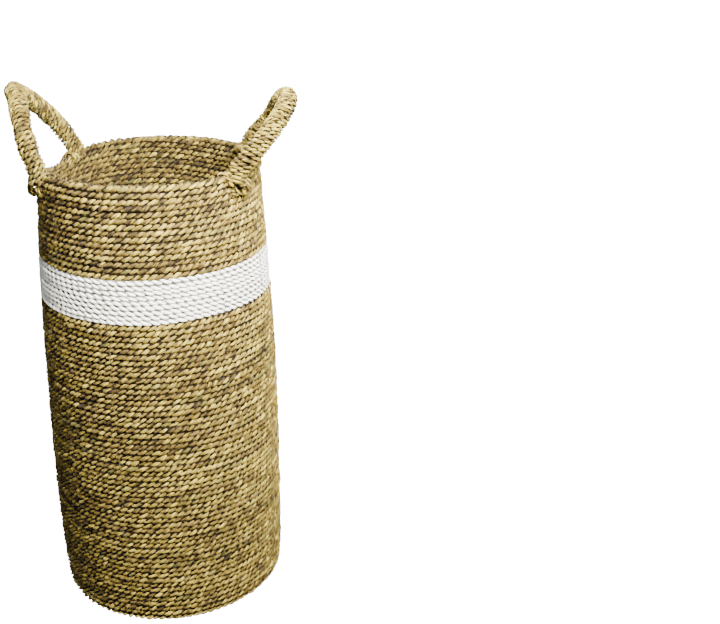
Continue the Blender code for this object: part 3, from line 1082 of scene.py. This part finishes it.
class BASKET_OT_handle_windings(bpy.types.Operator):
    """Winds cord round each handle, turn against turn, from foot to foot"""
    bl_idname = "basket.handle_windings"
    bl_label = "Wind the Handles"

    def execute(self, context):
        handle = context.scene.basket_handle
        steps_per_turn = 46
        for number, (side, _) in enumerate(HANDLES):
            rng = np.random.default_rng(90 + number)
            points, face = loop_line(handle, side)
            spine = even_line(points, handle.winding_start,
                              handle.winding_pitch / steps_per_turn)
            along = travelled(spine)
            tangent = unit(np.gradient(spine, axis=0))
            beside = np.cross(tangent, face)
            turned = (math.tau * along / handle.winding_pitch
                      + 0.9 * drift(rng, along, 0.022))
            out = np.cos(turned)[:, None] * face + np.sin(turned)[:, None] * beside
            radius = handle.winding_radius + 0.00045 * drift(rng, along, 0.011)
            ends = np.clip(np.minimum(along, along[-1] - along) / 0.004, 0.0, 1.0)
            radius = radius - 0.0012 * (1 - ends)
            sway = 0.0011 * np.sin(turned + 1.1)
            path = spine + out * radius[:, None] + tangent * sway[:, None]
            skein = Skein()
            lay_rope(skein, path, out, winding_kind(handle), rng, handle.cord_radius,
                     handle.cord_radius, filler=False)
            add_piece(context, f"handle_{side}_winding", skein, "seagrass_handle",
                      f"handle_{side}", f"handle_{side}_wrap")
        return {"FINISHED"}


REAR_LASHING = 0.62         # width of a rear lashing, as a share of a front one's
LEG_THICKNESS = 0.0075      # how far the leg under a lashing lifts its outer turns
LEG_HALF_WIDTH = 0.011


def lashing_line(handle, azimuth, lean_way, width):
    """Turns of cord over the rim, down both faces and through the wall below.

    lean_way is +1 or -1, the way round the basket in which the outer turns lean.
    """
    turns = handle.lashing_turns
    turned = np.linspace(0.0, math.tau * turns, turns * 60)
    top = RIM_TOP + 0.0004
    half_depth = WALL / 2 + handle.cord_radius * 0.85
    roundness = np.where(np.sin(turned) > 0, 0.90, 0.62)
    outer, upper = (np.sign(part) * np.abs(part) ** roundness
                    for part in (np.cos(turned), np.sin(turned)))
    drop = handle.lashing_inside + (handle.lashing_drop - handle.lashing_inside) * (1 + outer) / 2
    out = outer * half_depth
    height = top - drop * (1 - upper) / 2
    middle = top - handle.lashing_inside / 2
    slant = (handle.lashing_slant * (0.5 + 0.5 * np.cos(turned))
             * (0.5 - 0.5 * np.sin(turned) + 0.25))
    rim = wall_radius(RIM_TOP)
    along = width * (turned / turned[-1] - 0.5)
    over_leg = (LEG_THICKNESS * np.exp(-(along / LEG_HALF_WIDTH) ** 2)
                * (0.5 + 0.5 * np.cos(turned)))
    out = out + over_leg
    around = azimuth + (along + lean_way * slant) / rim
    radius = wall_radius(height) - WALL / 2 + out
    path = polar(radius, around, height)
    return path, unit(path - polar(radius - out, around, middle))


class BASKET_OT_lashings(bpy.types.Operator):
    """Lashes each handle's feet to the rim with turns of cord"""
    bl_idname = "basket.lashings"
    bl_label = "Lash the Feet"

    def execute(self, context):
        handle = context.scene.basket_handle
        coil = context.scene.basket_coil
        seed = 100
        for side, direction in HANDLES:
            for place, end in (("front", -1.0), ("rear", 1.0)):
                seed += 1
                rng = np.random.default_rng(seed)
                hinge = HINGES[f"handle_{side}"]
                azimuth = math.atan2(end * handle.half_width, hinge.x)
                width = handle.lashing_width * (1.0 if place == "front" else REAR_LASHING)
                path, out = lashing_line(handle, azimuth, -end * direction, width)
                along = travelled(path)
                path = path + out * (0.0004 * drift(rng, along, 0.012))[:, None]
                skein = Skein()
                lay_rope(skein, path, out, winding_kind(handle), rng, handle.cord_radius,
                         handle.cord_radius, filler=False)
                skein.shift(lambda points: settle(points, coil))
                add_piece(context, f"handle_{side}_{place}_lashing_cord", skein,
                          "seagrass_handle", BASKET, f"handle_{side}_{place}_lashing")
        return {"FINISHED"}


# ---------------------------------------------------------------- stage

def add_floor(context, studio):
    """A glowing floor and dome, which the camera sees and which don't light the basket."""
    finish = Finish("studio_floor", 0.9, 0.0)
    ground = finish.node("ShaderNodeTexCoord").outputs["Object"]
    cloud = finish.noise(finish.stretch(ground, (3.0, 3.0, 3.0)), 2.0)
    pale = tuple(studio.floor)
    dull = tuple(part * 0.985 for part in pale)
    finish.link(finish.ramp(cloud, [(0.3, dull), (0.7, pale)]),
                finish.shader.inputs["Base Color"])
    finish.shader.inputs["Emission Color"].default_value = (1.0, 1.0, 1.0, 1.0)
    finish.shader.inputs["Emission Strength"].default_value = studio.floor_glow
    floor = bmesh.new()
    bmesh.ops.create_circle(floor, cap_ends=True, segments=96, radius=studio.reach)
    dome = bmesh.new()
    bmesh.ops.create_uvsphere(dome, u_segments=96, v_segments=48, radius=studio.reach * 0.98)
    below = [corner for corner in dome.verts if corner.co.z < -0.5]
    bmesh.ops.delete(dome, geom=below, context="VERTS")
    for name, shape in (("studio_floor", floor), ("studio_dome", dome)):
        mesh = bpy.data.meshes.new(name)
        shape.to_mesh(mesh)
        shape.free()
        mesh.materials.append(finish.material)
        piece = bpy.data.objects.new(name, mesh)
        context.scene.collection.objects.link(piece)
        piece.visible_diffuse = False
        piece.visible_glossy = False
        piece.visible_shadow = name == "studio_floor"


# Name, place, width and tone of each lamp, which all point at the middle of the basket
LAMPS = (("key", (0.36, -0.58, 1.08), 0.5, (1.0, 0.975, 0.94)),
         ("fill", (-1.6, -1.4, 1.1), 1.6, (0.94, 0.97, 1.0)),
         ("rear", (-0.45, 1.5, 1.4), 1.2, (1.0, 0.99, 0.97)))
LAMP_TARGET = (0.0, 0.0, 0.3)


def add_lamp(context, name, place, size, power, tone):
    lamp = bpy.data.lights.new(name, "AREA")
    lamp.shape = "DISK"
    lamp.size = size
    lamp.energy = power
    lamp.color = tone
    made = bpy.data.objects.new(name, lamp)
    made.location = place
    made.rotation_euler = (Vector(LAMP_TARGET) - Vector(place)).to_track_quat("-Z", "Y").to_euler()
    context.scene.collection.objects.link(made)


def add_camera(context, studio):
    ahead = Vector((math.sin(studio.heading) * math.cos(studio.tilt),
                    math.cos(studio.heading) * math.cos(studio.tilt), -math.sin(studio.tilt)))
    level = ahead.cross(Vector((0.0, 0.0, 1.0))).normalized()
    upright = level.cross(ahead)
    right = level * math.cos(studio.roll) + upright * math.sin(studio.roll)
    up = upright * math.cos(studio.roll) - level * math.sin(studio.roll)
    lens = bpy.data.cameras.new("camera")
    lens.lens = studio.lens
    lens.sensor_width = 36.0
    lens.sensor_fit = "HORIZONTAL"
    camera = bpy.data.objects.new("camera", lens)
    turn = Matrix((right, up, -ahead)).transposed().to_4x4()
    camera.matrix_world = Matrix.Translation(studio.camera_place) @ turn
    context.scene.collection.objects.link(camera)
    context.scene.camera = camera


class BASKET_OT_stage(bpy.types.Operator):
    """Sets up the camera, the pale floor and the soft studio light"""
    bl_idname = "basket.stage"
    bl_label = "Set Up the Studio"

    def execute(self, context):
        studio = context.scene.basket_studio
        add_camera(context, studio)
        add_floor(context, studio)
        for name, place, size, tone in LAMPS:
            power = getattr(studio, f"{name}_power")
            add_lamp(context, f"{name}_light", place, size, power, tone)
        world = bpy.data.worlds.new("studio_room")
        world.use_nodes = True
        room = world.node_tree.nodes["Background"]
        room.inputs["Color"].default_value = (1.0, 1.0, 1.0, 1.0)
        room.inputs["Strength"].default_value = studio.room_light
        context.scene.world = world
        return {"FINISHED"}


# ---------------------------------------------------------------- add-on

PIECES = (BASKET_OT_stage, BASKET_OT_base, BASKET_OT_corner, BASKET_OT_lower_wall,
          BASKET_OT_band, BASKET_OT_upper_wall, BASKET_OT_rim, BASKET_OT_sewing,
          BASKET_OT_loose_blades, BASKET_OT_handle_cores, BASKET_OT_handle_windings,
          BASKET_OT_lashings)


class BASKET_PT_panel(bpy.types.Panel):
    """Lists the steps that make the basket, and the sizes that they use"""
    bl_idname = "BASKET_PT_panel"
    bl_label = "Coiled Laundry Basket"
    bl_space_type = "VIEW_3D"
    bl_region_type = "UI"
    bl_category = "Basket"

    def draw(self, context):
        steps = self.layout.column(align=True)
        for piece in PIECES:
            steps.operator(piece.bl_idname)
        for name in SETTINGS:
            box = self.layout.box()
            group = getattr(context.scene, name)
            for key in group.__annotations__:
                box.prop(group, key)


def register():
    for name, group in SETTINGS.items():
        bpy.utils.register_class(group)
        setattr(bpy.types.Scene, name, PointerProperty(type=group))
    for piece in PIECES + (BASKET_PT_panel,):
        bpy.utils.register_class(piece)


def unregister():
    for piece in (BASKET_PT_panel,) + PIECES[::-1]:
        bpy.utils.unregister_class(piece)
    for name, group in SETTINGS.items():
        delattr(bpy.types.Scene, name)
        bpy.utils.unregister_class(group)


def main():
    register()
    for piece in PIECES:
        step = piece.bl_idname.split(".")[1]
        getattr(bpy.ops.basket, step)()


if __name__ == "__main__":
    main()
